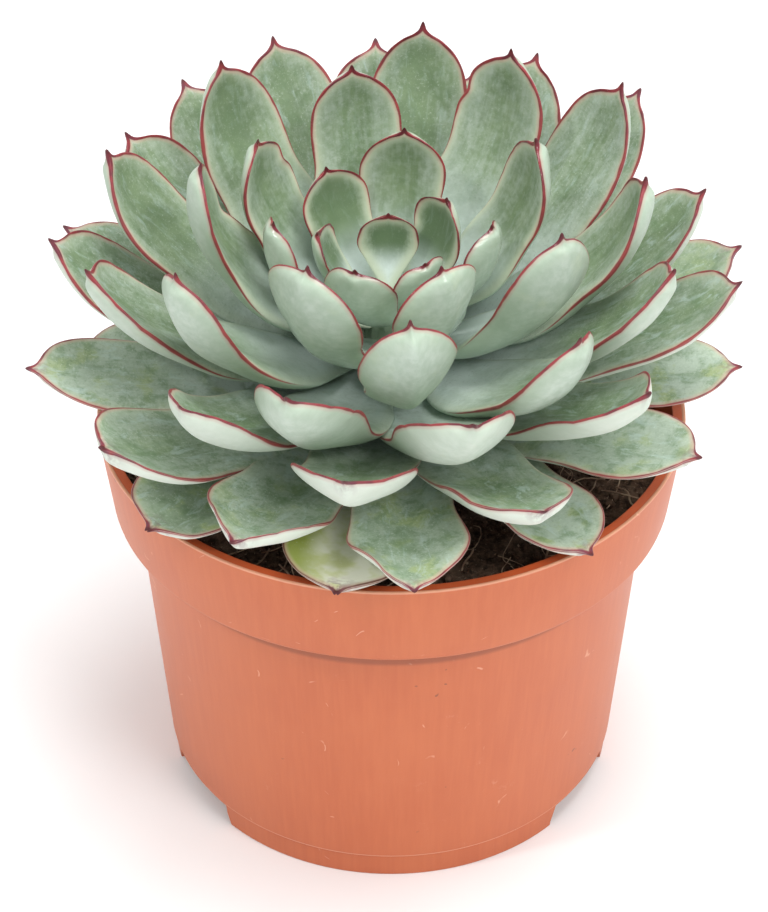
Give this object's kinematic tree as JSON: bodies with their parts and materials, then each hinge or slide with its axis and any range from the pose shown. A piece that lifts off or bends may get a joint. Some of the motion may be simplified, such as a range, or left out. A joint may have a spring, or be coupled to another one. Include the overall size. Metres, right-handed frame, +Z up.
{
  "type": "potted succulent",
  "caption": "Rosette succulent with thick pointed leaves, standing in peaty soil in a round tapered nursery pot with a deep rim band and a cut foot ring.",
  "frame": {"origin": "on the ground under the middle of the pot, which is within about a millimetre of the middle of the whole object's box", "axes": "+Z up; -Y is the front, towards which the rosette leans and one of the pot's feet points; +X to the right seen from the front"},
  "size_m": [0.144, 0.1421, 0.1527],
  "materials": {
    "pot_plastic": "satin injection-moulded polypropylene in a terracotta colour, with scuffs",
    "potting_soil": null,
    "stem": "short corky stem",
    "leaf": "fleshy leaf, blue-grey waxy bloom over green, red margin; plastic stands in for watery tissue"
  },
  "bodies": {
    "root": {"pot": "pot_plastic", "soil": "potting_soil", "stem": "stem", "leaf_00": "leaf", "leaf_01": "leaf", "leaf_02": "leaf", "leaf_03": "leaf", "leaf_04": "leaf", "leaf_05": "leaf", "leaf_06": "leaf", "leaf_07": "leaf", "leaf_08": "leaf", "leaf_09": "leaf", "leaf_10": "leaf", "leaf_11": "leaf", "leaf_12": "leaf", "leaf_13": "leaf", "leaf_14": "leaf", "leaf_15": "leaf", "leaf_16": "leaf", "leaf_17": "leaf", "leaf_18": "leaf", "leaf_19": "leaf", "leaf_20": "leaf", "leaf_21": "leaf", "leaf_22": "leaf", "leaf_23": "leaf", "leaf_24": "leaf", "leaf_25": "leaf", "leaf_26": "leaf", "leaf_27": "leaf", "leaf_28": "leaf", "leaf_29": "leaf", "leaf_30": "leaf", "leaf_31": "leaf", "leaf_32": "leaf", "leaf_33": "leaf", "leaf_34": "leaf", "leaf_35": "leaf", "leaf_36": "leaf", "leaf_37": "leaf", "leaf_38": "leaf", "leaf_39": "leaf", "leaf_40": "leaf", "leaf_41": "leaf", "leaf_42": "leaf", "leaf_43": "leaf", "leaf_44": "leaf", "leaf_45": "leaf", "leaf_46": "leaf", "leaf_47": "leaf", "leaf_48": "leaf", "leaf_49": "leaf", "leaf_50": "leaf", "leaf_51": "leaf", "leaf_53": "leaf", "leaf_54": "leaf", "leaf_56": "leaf", "leaf_57": "leaf", "leaf_59": "leaf"}
  },
  "joints": []
}
